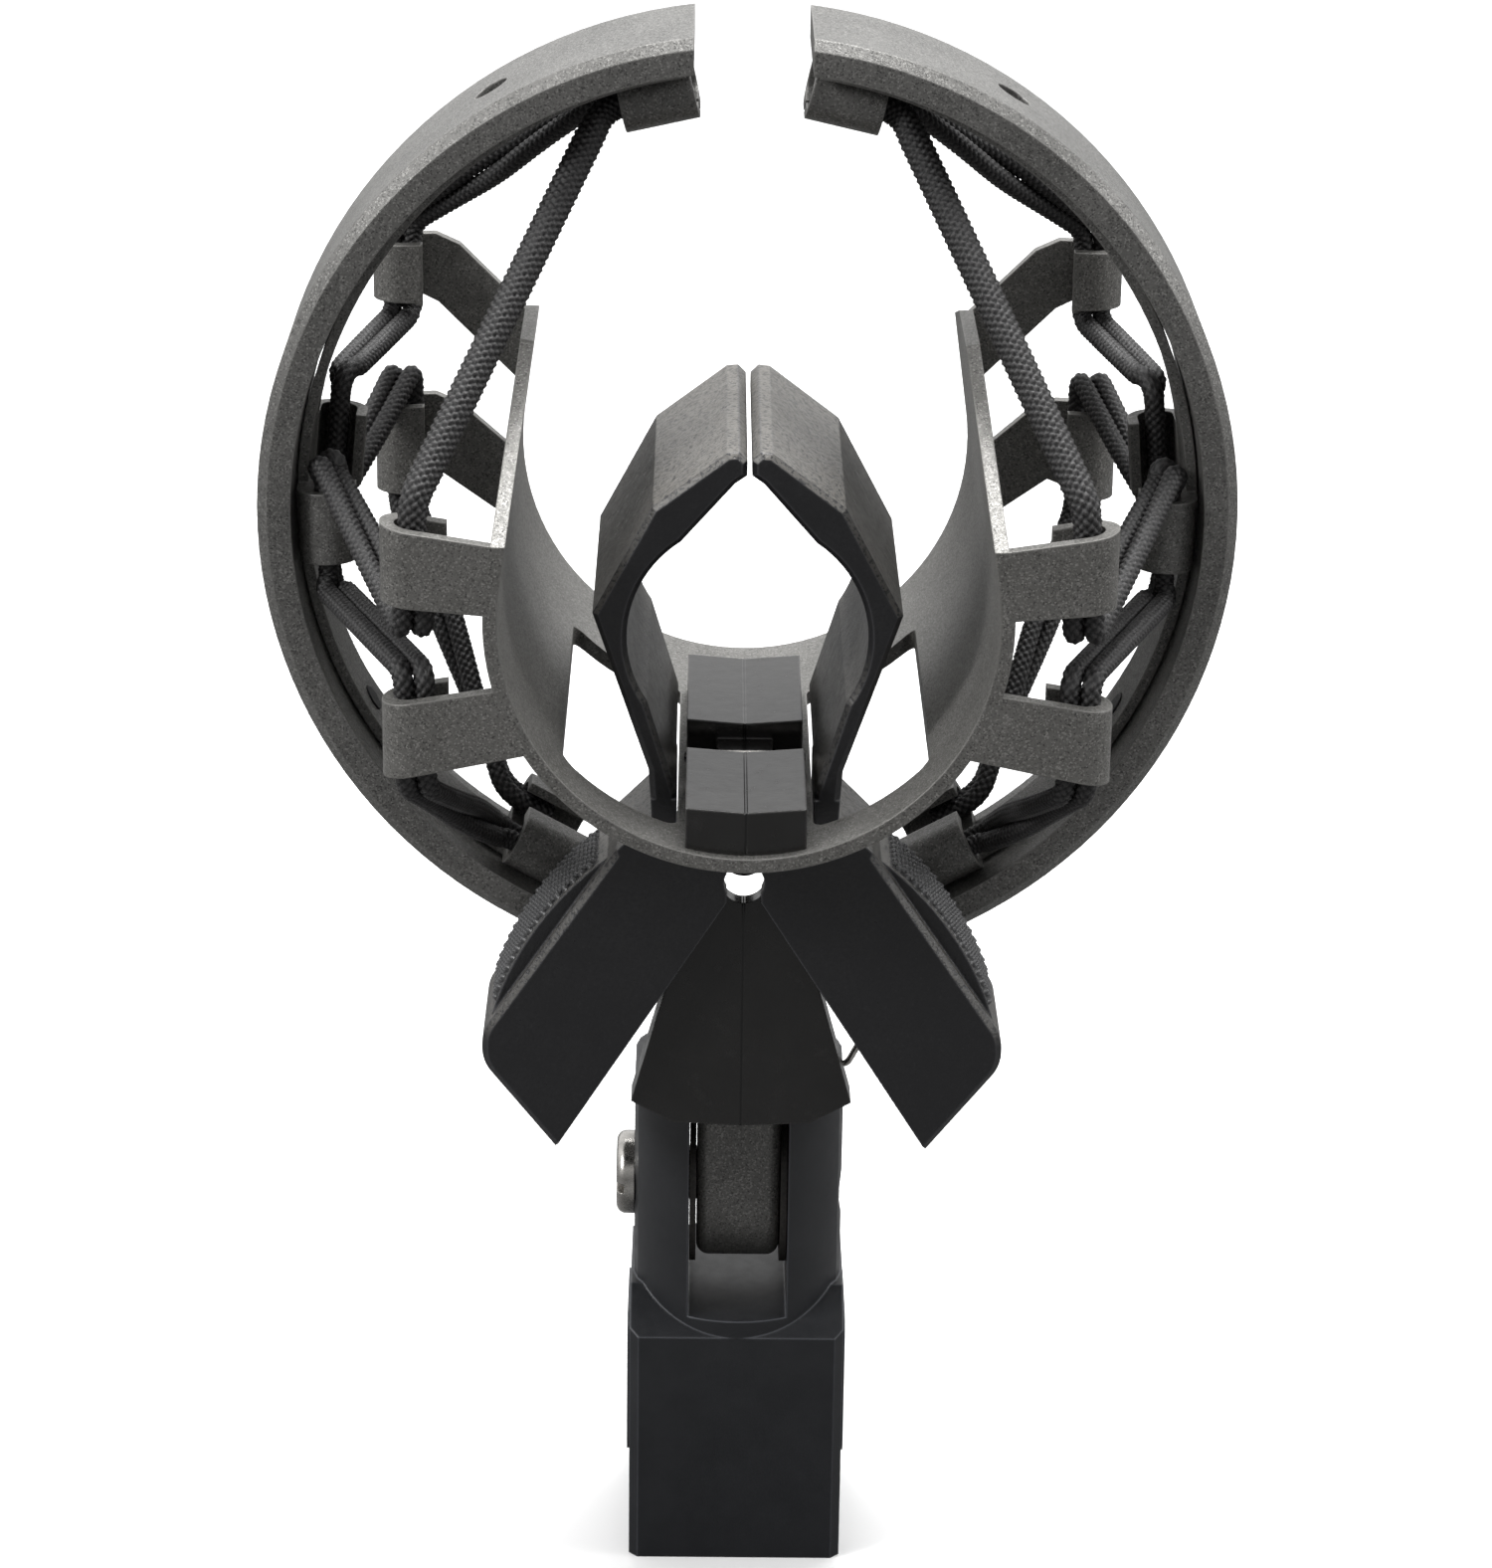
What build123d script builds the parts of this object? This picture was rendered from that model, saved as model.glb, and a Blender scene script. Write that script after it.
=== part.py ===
"""Elastic shock mount with a spring clip for a slim condenser microphone.

Millimetres.  +X is right, +Y runs from the open front to the back, +Z is up.
The pieces are drawn about the centre of the ring's front face.  save() then moves each one so that
the origin is the middle of the stand thread's mouth, under the socket.
"""
from build123d import *
from math import cos, radians, sin, tan
import os

# ---- outer ring ----------------------------------------------------------------------------------
RING_RADIUS = 42.5
RING_INNER_RADIUS = 39.5
RING_WIDTH = 16.3
RING_CHAMFER = 0.9
RING_GAP = 10.0
RELIEF_START = 11.0          # the bottom of the ring is cut back behind this depth
RELIEF_WIDTH = 9.6

# ---- hook liners screwed inside the ring ---------------------------------------------------------
SHEET = 1.2                  # thickness of all bent sheet metal
LINER_RADIUS = 39.3
LINER_SHEET = 0.9
LINER_FRONT = 4.6
LINER_BACK = RING_WIDTH - 4.6
HOOK_DEPTH = 5.0             # how far a ring hook stands in from the liner's back
HOOK_REACH = 3.4             # how far a ring hook stands out of the liner's edge
HOOK_LENGTH = 6.4            # hook size along the ring
HOOK_OFFSET = 0.2            # a hook's root lies this far inside the liner's face
TOP_HOOK_SETBACK = 4.8       # the front hook at the top stands this much further back
TOP_HOOK_ANGLE = 77.2
FRONT_MIDDLE_ANGLE = -1.8
REAR_MIDDLE_ANGLE = 5.0
BOTTOM_HOOK_ANGLE = -61.3
LINER_ENDS = (-66.0, 81.5)
SCREW_ANGLES = (58.3, -30.0)
SCREW_RADIUS = 1.15
SCREW_HEAD_RADIUS = 1.5
SCREW_HEAD_TOP = 1.05        # depth of a screw head's top below the ring's surface
SCREW_SEAT = 1.7             # depth of the counterbore it sits in
TONGUE_SCREW_DEPTHS = (3.6, 8.2)
LINER_SCREW_DEPTH = RING_WIDTH / 2

# ---- cradle --------------------------------------------------------------------------------------
CRADLE_CENTRE = -1.7         # height of the centre of its round bottom
CRADLE_RADIUS = 21.3         # middle of the sheet
CRADLE_FRONT = -22.0
CRADLE_BACK = 32.0
WALL_LEAN = 8.0              # degrees by which each wall leans inwards
WALL_TOP = 16.5
WINDOW_INNER = 5.8
WINDOW_OUTER = 15.6
WINDOW_FRONT = -16.4
WINDOW_BACK = 18.0

# ---- spring clip ---------------------------------------------------------------------------------
CLIP_FRONT = -13.0
JAW_BACK = 15.0
HANDLE_BACK = -1.2
PIVOT_HEIGHT = -27.1
PIN_RADIUS = 1.25
RUNNING_GAP = 0.05
KNUCKLE_RADIUS = 2.1
GRIP_RADIUS = 10.2           # half the width of the microphone it holds
GRIP_HEIGHT = -6.0
PLATE = 1.9
SIGHT_HOLE_RADIUS = 1.75
SIGHT_HOLE_HEIGHT = -28.2
SPRING_WIRE = 0.3
SPRING_COIL = 1.9
POST_X = 11.9
POST_HEIGHT = -46.6
POST_RADIUS = 0.9
POST_FRONT = -6.9            # the posts stand behind the guard plate
JAW_BEVEL = 0.45
HANDLE_BEVEL = 0.5
HANDLE_CORNER = 3.6

# ---- clip body -----------------------------------------------------------------------------------
BLOCK_WIDTH = 10.2
BLOCK_TOP = -18.6
BLOCK_SPANS = ((-21.0, -6.4), (0.7, 18.0))
FAN_FRONT = -10.8
FAN_THICKNESS = 1.8

# ---- swivel --------------------------------------------------------------------------------------
BOLT_Y = 9.0
BOLT_Z = -66.4
BOLT_RADIUS = 2.5
TONGUE_WIDTH = 7.7
TONGUE_RADIUS = 7.6
WASHER = 0.6
SLOT_WIDTH = TONGUE_WIDTH + 2 * WASHER + 0.2
FORK_RADIUS = 10.5
FORK_WIDTH = 19.2
EAR_TOP = -54.9
EAR_ROUND = 4.5
SLOT_FLOOR = -76.6
SHOULDER = -75.0
BASE_BOTTOM = -101.5
BASE_WIDTH = 19.8
INSERT_RADIUS = 9.0
THREAD_RADIUS = 7.45         # bore of a 5/8 inch - 27 thread
INSERT_LENGTH = 17.0

# ---- cords ---------------------------------------------------------------------------------------
CORD_RADIUS = 1.25


def front_plane(depth):
    """Plane facing the viewer at the given depth: local x is right, local y is up."""
    return Plane(origin=(0, depth, 0), x_dir=(1, 0, 0), z_dir=(0, -1, 0))


def hook_plane(angle):
    """Plane through the ring's axis at an angle: local x is outward, local y is to the back."""
    outward = (cos(radians(angle)), 0, sin(radians(angle)))
    along = (sin(radians(angle)), 0, -cos(radians(angle)))
    return Plane(origin=(0, 0, 0), x_dir=outward, z_dir=tuple(-a for a in along))


def ring_point(angle, radius, depth):
    return (radius * cos(radians(angle)), depth, radius * sin(radians(angle)))


def bar(start, end, radius):
    """Round bar between two points."""
    line = Vector(*end) - Vector(*start)
    with BuildPart() as piece:
        with BuildSketch(Plane(origin=start, z_dir=line)) as section:
            Circle(radius)
        extrude(section.sketch, amount=line.length)
    return piece.part


def save(piece, name):
    """Writes a piece about the origin at the mouth of the stand thread."""
    placed = piece.moved(Location((0, -BOLT_Y, -BASE_BOTTOM)))
    placed.label = name
    export_step(placed, f"parts/{name}.step")


os.makedirs("parts", exist_ok=True)
ALL_SCREW_ANGLES = SCREW_ANGLES + tuple(180 - angle for angle in SCREW_ANGLES)

# ---- outer ring: a wide band, open at the top, with chamfered outer rims -------------------------
with BuildPart() as outer_ring:
    with BuildSketch(front_plane(0)):
        Circle(RING_RADIUS)
        Circle(RING_INNER_RADIUS, mode=Mode.SUBTRACT)
    extrude(amount=-RING_WIDTH)
    rims = outer_ring.edges().filter_by(GeomType.CIRCLE)
    chamfer(rims.filter_by(lambda e: abs(e.radius - RING_RADIUS) < 0.01), length=RING_CHAMFER)
    with BuildSketch(front_plane(-1)):
        with Locations((0, RING_RADIUS)):
            Rectangle(RING_GAP, 16)
    extrude(amount=-RING_WIDTH - 2, mode=Mode.SUBTRACT)
    with BuildSketch(front_plane(RELIEF_START)):
        with Locations((0, -RING_RADIUS)):
            Rectangle(RELIEF_WIDTH, 10)
    extrude(amount=-RING_WIDTH, mode=Mode.SUBTRACT)
    # counterbored holes for the liner screws, and two countersunk ones for the swivel tongue
    for turn in ALL_SCREW_ANGLES:
        seat = Vector(*ring_point(turn, RING_RADIUS, LINER_SCREW_DEPTH))
        axis = Vector(*ring_point(turn, 1, 0))
        with Locations(Plane(origin=seat, z_dir=axis)):
            CounterBoreHole(
                radius=SCREW_RADIUS + 0.1, counter_bore_radius=SCREW_HEAD_RADIUS + 0.1,
                counter_bore_depth=SCREW_SEAT, depth=6,
            )
    for depth in TONGUE_SCREW_DEPTHS:
        with Locations(Plane(origin=(0, depth, -RING_INNER_RADIUS), z_dir=(0, 0, 1))):
            CounterSinkHole(radius=1.3, counter_sink_radius=2.1, depth=6)


# ---- hook liner: thin strip inside the ring with hooks curled over its two edges -----------------
def ring_hook(angle, edge, way):
    """One hook of a liner, curled over the edge at that depth; way is -1 to the front, 1 to the back."""
    outer = LINER_RADIUS - HOOK_OFFSET - LINER_SHEET / 2
    inner = outer - HOOK_DEPTH + LINER_SHEET
    tip = edge + way * HOOK_REACH
    with BuildPart() as hook:
        with BuildSketch(hook_plane(angle)) as section:
            with BuildLine():
                FilletPolyline(
                    (outer, edge - way * 1.0), (outer, tip), (inner, tip), (inner, edge - way * 0.6),
                    radius=1.9,
                )
            trace(line_width=LINER_SHEET)
        extrude(section.sketch, amount=HOOK_LENGTH / 2, both=True)
    return hook.part


hooks = [
    ring_hook(TOP_HOOK_ANGLE, LINER_FRONT + TOP_HOOK_SETBACK, -1), ring_hook(TOP_HOOK_ANGLE, LINER_BACK, 1),
    ring_hook(FRONT_MIDDLE_ANGLE, LINER_FRONT, -1), ring_hook(REAR_MIDDLE_ANGLE, LINER_BACK, 1),
    ring_hook(BOTTOM_HOOK_ANGLE, LINER_FRONT, -1), ring_hook(BOTTOM_HOOK_ANGLE, LINER_BACK, 1),
]
with BuildPart() as right_hook_liner:
    with BuildSketch(front_plane(LINER_FRONT)):
        with BuildLine():
            strip = LINER_ENDS[1] - LINER_ENDS[0]
            CenterArc((0, 0), LINER_RADIUS - LINER_SHEET / 2, LINER_ENDS[0], strip)
        trace(line_width=LINER_SHEET)
    extrude(amount=-(LINER_BACK - LINER_FRONT))
    for hook in hooks:
        add(hook)
    for turn in SCREW_ANGLES:
        seat = Vector(*ring_point(turn, LINER_RADIUS, LINER_SCREW_DEPTH))
        with Locations(Plane(origin=seat, z_dir=Vector(*ring_point(turn, 1, 0)))):
            Hole(radius=SCREW_RADIUS + 0.1, depth=4)

left_hook_liner = mirror(right_hook_liner.part, about=Plane.YZ)

# ---- liner screws: four small screws with hexagon sockets, sunk below the ring's surface ---------
with BuildPart() as liner_screws:
    for turn in ALL_SCREW_ANGLES:
        head_top = Vector(*ring_point(turn, RING_RADIUS - SCREW_HEAD_TOP, LINER_SCREW_DEPTH))
        head_plane = Plane(origin=head_top, z_dir=Vector(*ring_point(turn, 1, 0)))
        with BuildSketch(head_plane):
            Circle(SCREW_HEAD_RADIUS)
        extrude(amount=-(SCREW_SEAT - SCREW_HEAD_TOP))
        with BuildSketch(head_plane):
            Circle(SCREW_RADIUS)
        extrude(amount=-3.2)
        with BuildSketch(head_plane):
            RegularPolygon(0.75, 6)
        extrude(amount=-0.9, mode=Mode.SUBTRACT)

# ---- swivel tongue: saddle under the ring, narrowing to a round eye on the tilt bolt -------------
with BuildPart() as swivel_tongue:
    with BuildSketch(Plane.YZ):
        with BuildLine():
            Polyline(
                (0.9, -41.0), (10.4, -41.0), (10.4, -45.5), (BOLT_Y + TONGUE_RADIUS, -57.0),
                (BOLT_Y + TONGUE_RADIUS, BOLT_Z), (BOLT_Y - TONGUE_RADIUS, BOLT_Z),
                (BOLT_Y - TONGUE_RADIUS, -46.0), (0.9, -44.5), close=True,
            )
        make_face()
        with Locations((BOLT_Y, BOLT_Z)):
            Circle(TONGUE_RADIUS)
            Circle(BOLT_RADIUS + RUNNING_GAP, mode=Mode.SUBTRACT)
    extrude(amount=TONGUE_WIDTH / 2, both=True)
    with BuildSketch(front_plane(-2)):
        Circle(RING_RADIUS)
    extrude(amount=-22, mode=Mode.SUBTRACT)
    for depth in TONGUE_SCREW_DEPTHS:
        with Locations(Plane(origin=(0, depth, -RING_RADIUS), z_dir=(0, 0, 1))):
            Hole(radius=1.3, depth=5.5)
    rounded = swivel_tongue.edges().filter_by(Axis.Z).group_by(Axis.Z)[0]
    fillet(rounded, radius=1.2)

# ---- tongue screws: two countersunk screws from inside the ring ----------------------------------
with BuildPart() as tongue_screws:
    for depth in TONGUE_SCREW_DEPTHS:
        seat = Plane(origin=(0, depth, -RING_INNER_RADIUS - 0.55), z_dir=(0, 0, 1))
        with BuildSketch(seat):
            Circle(1.45)
        extrude(amount=-0.3, taper=45)
        with BuildSketch(seat):
            Circle(1.25)
        extrude(amount=-6.5)
        with BuildSketch(seat):
            Rectangle(2.0, 0.45)
            Rectangle(0.45, 2.0)
        extrude(amount=-0.7, mode=Mode.SUBTRACT)


# ---- cradle: one bent sheet, a U-shaped trough with four hooks at each end -----------------------
def cradle_hook(path, outline):
    """Sheet strip bent along a path seen from above and trimmed to its front-view outline."""
    with BuildPart() as hook:
        with BuildSketch(Plane.XY.offset(-30)) as section:
            with BuildLine():
                FilletPolyline(*path, radius=2.1)
            trace(line_width=SHEET)
        extrude(section.sketch, amount=60)
        with BuildSketch(front_plane(-40)) as view:
            with BuildLine():
                Polyline(*outline, close=True)
            make_face()
        extrude(view.sketch, amount=-90, mode=Mode.INTERSECT)
    return hook.part


front_sheet = CRADLE_FRONT + SHEET / 2
back_sheet = CRADLE_BACK - SHEET / 2
FRONT_PATH = [(17.0, front_sheet), (29.8, front_sheet), (29.8, front_sheet + 4.4), (25.0, front_sheet + 4.4)]
BACK_PATH = [(19.0, back_sheet), (33.6, back_sheet), (33.6, back_sheet - 4.4), (29.6, back_sheet - 4.4)]
front_upper = [(20.9, -1.2), (20.9, 4.8), (30.6, 6.3), (30.6, -0.4)]
front_lower = [(17.9, -13.2), (20.4, -7.6), (30.6, -9.3), (30.6, -15.9)]
rear_upper = [
    (20.6, 3.6), (20.2, 10.6), (26.4, 16.8), (28.6, 17.8), (34.4, 17.6),
    (34.4, 12.4), (30.2, 12.3), (28.4, 11.4),
]
rear_lower = [
    (20.2, -8.6), (21.2, -3.0), (26.4, 1.6), (28.8, 2.6), (34.4, 2.3),
    (34.4, -5.8), (30.2, -5.8), (28.2, -5.0), (23.4, -8.4),
]
right_hooks = [
    cradle_hook(FRONT_PATH, front_upper), cradle_hook(FRONT_PATH, front_lower),
    cradle_hook(BACK_PATH, rear_upper), cradle_hook(BACK_PATH, rear_lower),
]

with BuildPart() as cradle_frame:
    with BuildSketch(front_plane(CRADLE_FRONT)):
        with BuildLine():
            bottom = CenterArc((0, CRADLE_CENTRE), CRADLE_RADIUS, 180 - WALL_LEAN, 180 + 2 * WALL_LEAN)
            for end, side in ((bottom @ 0, -1), (bottom @ 1, 1)):
                lean = (WALL_TOP - end.Y) * tan(radians(WALL_LEAN))
                Line(end, (end.X - side * lean, WALL_TOP))
        trace(line_width=SHEET)
    extrude(amount=-(CRADLE_BACK - CRADLE_FRONT))
    # side outline: the front edges slope back above the upper hooks, the top slopes down behind
    with BuildSketch(Plane.YZ):
        with BuildLine():
            Polyline(
                (CRADLE_FRONT, -30), (CRADLE_FRONT, 4.8), (CRADLE_FRONT + 3, 6.4), (1.0, WALL_TOP + 1),
                (7.0, WALL_TOP + 1), (CRADLE_BACK, 10.6), (CRADLE_BACK, -30), close=True,
            )
        make_face()
    extrude(amount=30, both=True, mode=Mode.INTERSECT)
    # windows for the two clip halves and a slot for the clip body's neck
    with BuildSketch(Plane.XY.offset(-8)):
        with Locations(
            ((WINDOW_INNER + WINDOW_OUTER) / 2, (WINDOW_FRONT + WINDOW_BACK) / 2),
            (-(WINDOW_INNER + WINDOW_OUTER) / 2, (WINDOW_FRONT + WINDOW_BACK) / 2),
        ):
            RectangleRounded(WINDOW_OUTER - WINDOW_INNER, WINDOW_BACK - WINDOW_FRONT, 1.2)
        with Locations((0, -1.0)):
            Rectangle(5.0, 26.2)
    extrude(amount=-20, mode=Mode.SUBTRACT)
    for hook in right_hooks:
        add(hook)
        add(mirror(hook, about=Plane.YZ))

# ---- clip body: two saddle blocks in the cradle, neck, pivot lugs and the fan-shaped guard -------
FAN_OUTLINE = [
    (0, -52.2), (6.1, -51.9), (9.7, -49.9), (4.5, -31.0), (4.5, -23.9),
    (-4.5, -23.9), (-4.5, -31.0), (-9.7, -49.9), (-6.1, -51.9),
]
CRADLE_INNER = CRADLE_RADIUS - SHEET / 2 - 0.05
LUG_SPANS = ((-8.8, -7.6), (-1.6, 0.2))
with BuildPart() as clip_body:
    for start, stop in BLOCK_SPANS:
        with BuildSketch(front_plane(start)):
            with BuildLine():
                base = CRADLE_CENTRE - (CRADLE_INNER**2 - (BLOCK_WIDTH / 2) ** 2) ** 0.5
                ThreePointArc(
                    (-BLOCK_WIDTH / 2, base), (0, CRADLE_CENTRE - CRADLE_INNER), (BLOCK_WIDTH / 2, base)
                )
                Polyline(
                    (BLOCK_WIDTH / 2, base), (BLOCK_WIDTH / 2, BLOCK_TOP + 0.4), (0, BLOCK_TOP),
                    (-BLOCK_WIDTH / 2, BLOCK_TOP + 0.4), (-BLOCK_WIDTH / 2, base),
                )
            make_face()
        extrude(amount=-(stop - start))
    # neck through the cradle's slot, with a foot that holds the sheet from below
    with BuildSketch(Plane.YZ):
        with BuildLine():
            Polyline(
                (-14.0, -20.0), (11.9, -20.0), (11.9, -24.8), (-14.0, -24.8), close=True,
            )
        make_face()
        with Locations((-2.8, -20.4)):
            Circle(0.65, mode=Mode.SUBTRACT)
    extrude(amount=2.4, both=True)
    with BuildSketch(front_plane(-14.0)):
        with Locations((0, -24.35)):
            Rectangle(9.0, 0.9)
    extrude(amount=-25.9)
    # guard plate between the handles, stiffened by a rim behind it
    with BuildSketch(front_plane(FAN_FRONT)):
        with BuildLine():
            Polyline(*FAN_OUTLINE, close=True)
        make_face()
    extrude(amount=-FAN_THICKNESS)
    with BuildSketch(front_plane(FAN_FRONT + FAN_THICKNESS)):
        with BuildLine():
            Polyline(*FAN_OUTLINE, close=True)
        make_face()
        offset(amount=-1.2, mode=Mode.SUBTRACT)
        with Locations((0, -27)):
            Rectangle(12, 8, mode=Mode.SUBTRACT)
    extrude(amount=-1.6)
    with BuildSketch(front_plane(FAN_FRONT - 1)):
        with Locations((0, -28.0)):
            SlotCenterToCenter(2.0, 3.9, rotation=90)
    extrude(amount=-4, mode=Mode.SUBTRACT)
    # lugs that carry the pivot pin
    for start, stop in LUG_SPANS:
        with BuildSketch(front_plane(start)):
            with Locations((0, PIVOT_HEIGHT)):
                Circle(KNUCKLE_RADIUS)
            with Locations((0, (PIVOT_HEIGHT - 24.4) / 2)):
                Rectangle(2 * KNUCKLE_RADIUS, -24.4 - PIVOT_HEIGHT)
            with Locations((0, PIVOT_HEIGHT)):
                Circle(PIN_RADIUS, mode=Mode.SUBTRACT)
        extrude(amount=-(stop - start))

# ---- wire pin across the gap between the two saddle blocks ---------------------------------------
with BuildPart() as retaining_pin:
    with BuildSketch(Plane(origin=(-5.3, -2.8, -20.4), z_dir=(1, 0, 0))):
        Circle(0.6)
    extrude(amount=10.6)
    fillet(retaining_pin.edges(), radius=0.3)

# ---- pivot pin of the two clip halves ------------------------------------------------------------
with BuildPart() as clip_pivot_pin:
    with BuildSketch(front_plane(-8.9)):
        with Locations((0, PIVOT_HEIGHT)):
            Circle(PIN_RADIUS)
    extrude(amount=-9.3)
    chamfer(clip_pivot_pin.edges(), length=0.2)

# ---- clip half: jaw above the pivot, squeeze handle below it -------------------------------------
grip_top = (GRIP_RADIUS * cos(radians(56)), GRIP_HEIGHT + GRIP_RADIUS * sin(radians(56)))
grip_side = (GRIP_RADIUS, GRIP_HEIGHT)
grip_low = (GRIP_RADIUS * cos(radians(-34)), GRIP_HEIGHT + GRIP_RADIUS * sin(radians(-34)))
HANDLE_OUTLINE = [(1.5, -25.3), (11.0, -25.3), (22.7, -42.6), (22.7, -45.4), (16.3, -53.5), (1.5, -30.0)]
OUTER_STEP = (-1.75, -1.15)   # from the handle's outer edge to the inside of its outer plate
KNUCKLE_SPANS = {"left": (-7.4, -5.8), "right": (-3.4, -1.8)}

# the squeeze handle: front plate, back plate and the outer plate between them
with BuildPart() as handle:
    with BuildSketch(front_plane(CLIP_FRONT)):
        with BuildLine():
            Polyline(*HANDLE_OUTLINE, close=True)
        make_face()
    extrude(amount=-PLATE)
    with BuildSketch(front_plane(HANDLE_BACK - 1.5)):
        with BuildLine():
            Polyline(
                (6.0, -27.0), (11.0, -25.3), (22.7, -42.6), (22.7, -45.4), (16.3, -53.5),
                (4.4, -34.6), close=True,
            )
        make_face()
    extrude(amount=-1.5)
    with BuildSketch(front_plane(CLIP_FRONT)):
        with BuildLine():
            Polyline(
                (11.0, -25.3), (22.7, -42.6), (22.7, -45.4), (16.3, -53.5), (15.8, -51.0),
                (20.6, -44.8), (20.6, -43.2), (9.0, -26.2), close=True,
            )
        make_face()
    extrude(amount=-(HANDLE_BACK - CLIP_FRONT))
    # rounded outer corners, and a bevel along the outer edge of the front
    corners = handle.edges().filter_by(Axis.Y).filter_by(lambda e: abs(e.center().X - 22.7) < 0.05)
    fillet(corners, radius=HANDLE_CORNER)
    front_edges = handle.faces().sort_by(Axis.Y)[0].edges()
    chamfer(front_edges.filter_by(lambda e: e.center().X > 12), length=HANDLE_BEVEL)

with BuildPart() as right_clip_half:
    # jaw
    with BuildSketch(front_plane(CLIP_FRONT)) as jaw:
        with BuildLine():
            Polyline(
                grip_top, (1.2, 7.6), (0.2, 8.3), (0.2, 9.6), (0.9, 10.3), (1.9, 10.2),
                (8.1, 5.5), (13.1, -3.9),
            )
            Polyline((13.1, -3.9), (8.3, -17.9), (8.0, -22.0), (5.9, -22.0), (5.9, -20.0), grip_low)
            ThreePointArc(grip_low, grip_side, grip_top)
        make_face()
    extrude(amount=-(JAW_BACK - CLIP_FRONT))
    jaw_faces = right_clip_half.faces().sort_by(Axis.Y)
    chamfer(jaw_faces[0].edges() + jaw_faces[-1].edges(), length=JAW_BEVEL)
    # the jaw's foot narrows behind the handle so that it passes over the cradle floor
    with BuildSketch(front_plane(HANDLE_BACK)):
        with Locations((7.0, -22.0)):
            Rectangle(6, 4.4)
    extrude(amount=-20, mode=Mode.SUBTRACT)
    # shoulder through the cradle's window
    with BuildSketch(front_plane(CLIP_FRONT)):
        with BuildLine():
            Polyline(
                (5.9, -20.5), (8.1, -20.5), (8.0, -22.3), (11.0, -25.3), (9.7, -28.4), (5.9, -28.4),
                close=True,
            )
        make_face()
    extrude(amount=-(HANDLE_BACK - CLIP_FRONT))
    add(handle.part)
    # raised finger pad on the outer plate
    with BuildSketch(front_plane(CLIP_FRONT + 1.4)):
        with BuildLine():
            ThreePointArc((11.8, -26.5), (18.5, -33.9), (21.9, -41.45))
            Line((21.9, -41.45), (11.8, -26.5))
        make_face()
    extrude(amount=-(HANDLE_BACK - CLIP_FRONT - 2.8))
    # round notch that forms half of the sight hole under the cradle
    with BuildSketch(front_plane(CLIP_FRONT - 1)):
        with Locations((0, SIGHT_HOLE_HEIGHT)):
            Circle(SIGHT_HOLE_RADIUS)
    extrude(amount=-PLATE - 1.2, mode=Mode.SUBTRACT)
    # knuckle on the pivot pin, and its arm
    start, stop = KNUCKLE_SPANS["right"]
    with BuildSketch(front_plane(start)):
        with Locations((0, PIVOT_HEIGHT)):
            Circle(KNUCKLE_RADIUS)
        with Locations((3.5, PIVOT_HEIGHT)):
            Rectangle(7.0, 2.4)
        with Locations((0, PIVOT_HEIGHT)):
            Circle(PIN_RADIUS + RUNNING_GAP, mode=Mode.SUBTRACT)
    extrude(amount=-(stop - start))
    # post for the end of the spring
    with BuildSketch(front_plane(POST_FRONT)):
        with Locations((POST_X, POST_HEIGHT)):
            Circle(POST_RADIUS)
    extrude(amount=-(HANDLE_BACK - POST_FRONT - 1))

with BuildPart() as right_knuckle_only:
    start, stop = KNUCKLE_SPANS["right"]
    with BuildSketch(front_plane(start)):
        with Locations((0, PIVOT_HEIGHT)):
            Circle(KNUCKLE_RADIUS + 0.2)
        with Locations((2.9, PIVOT_HEIGHT)):
            Rectangle(5.9, 2.8)
    extrude(amount=-(stop - start))

# the left half is the mirror image, with its knuckle further forward on the pin
with BuildPart() as left_clip_half:
    add(mirror(right_clip_half.part, about=Plane.YZ))
    add(mirror(right_knuckle_only.part, about=Plane.YZ), mode=Mode.SUBTRACT)
    start, stop = KNUCKLE_SPANS["left"]
    with BuildSketch(front_plane(start)):
        with Locations((0, PIVOT_HEIGHT)):
            Circle(KNUCKLE_RADIUS)
        with Locations((-3.5, PIVOT_HEIGHT)):
            Rectangle(7.0, 2.4)
        with Locations((0, PIVOT_HEIGHT)):
            Circle(PIN_RADIUS + RUNNING_GAP, mode=Mode.SUBTRACT)
    extrude(amount=-(stop - start))

# ---- torsion spring on the pivot pin, one leg hooked behind a post in each handle ----------------
COIL_START = -5.35
COIL_PITCH = 0.9
COIL_TURNS = 1.5
leg_reach = POST_RADIUS + SPRING_WIRE + 0.12


def spring_leg(side, depth):
    """Straight leg from the coil to a hooked end under the handle's post."""
    arc = [
        (side * (POST_X - leg_reach * cos(radians(a))), depth, POST_HEIGHT - leg_reach * sin(radians(a)))
        for a in (0, 30, 60, 90)
    ]
    points = [(side * SPRING_COIL, depth, PIVOT_HEIGHT)] + arc
    with BuildPart() as leg:
        for here, after in zip(points, points[1:]):
            add(bar(here, after, SPRING_WIRE))
        for point in points:
            with Locations(point):
                Sphere(SPRING_WIRE)
    return leg.part


with BuildPart() as spring_coil:
    with BuildLine() as coil:
        Helix(pitch=COIL_PITCH, height=COIL_PITCH * COIL_TURNS, radius=SPRING_COIL)
    with BuildSketch(Plane(origin=coil.edges()[0] @ 0, z_dir=coil.edges()[0] % 0)):
        Circle(SPRING_WIRE)
    sweep(path=coil.edges()[0], is_frenet=True)
coil_frame = Plane(origin=(0, COIL_START, PIVOT_HEIGHT), x_dir=(1, 0, 0), z_dir=(0, 1, 0))
with BuildPart() as clip_spring:
    add(coil_frame.from_local_coords(spring_coil.part))
    add(spring_leg(1, COIL_START))
    add(spring_leg(-1, COIL_START + COIL_PITCH * COIL_TURNS))

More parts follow.
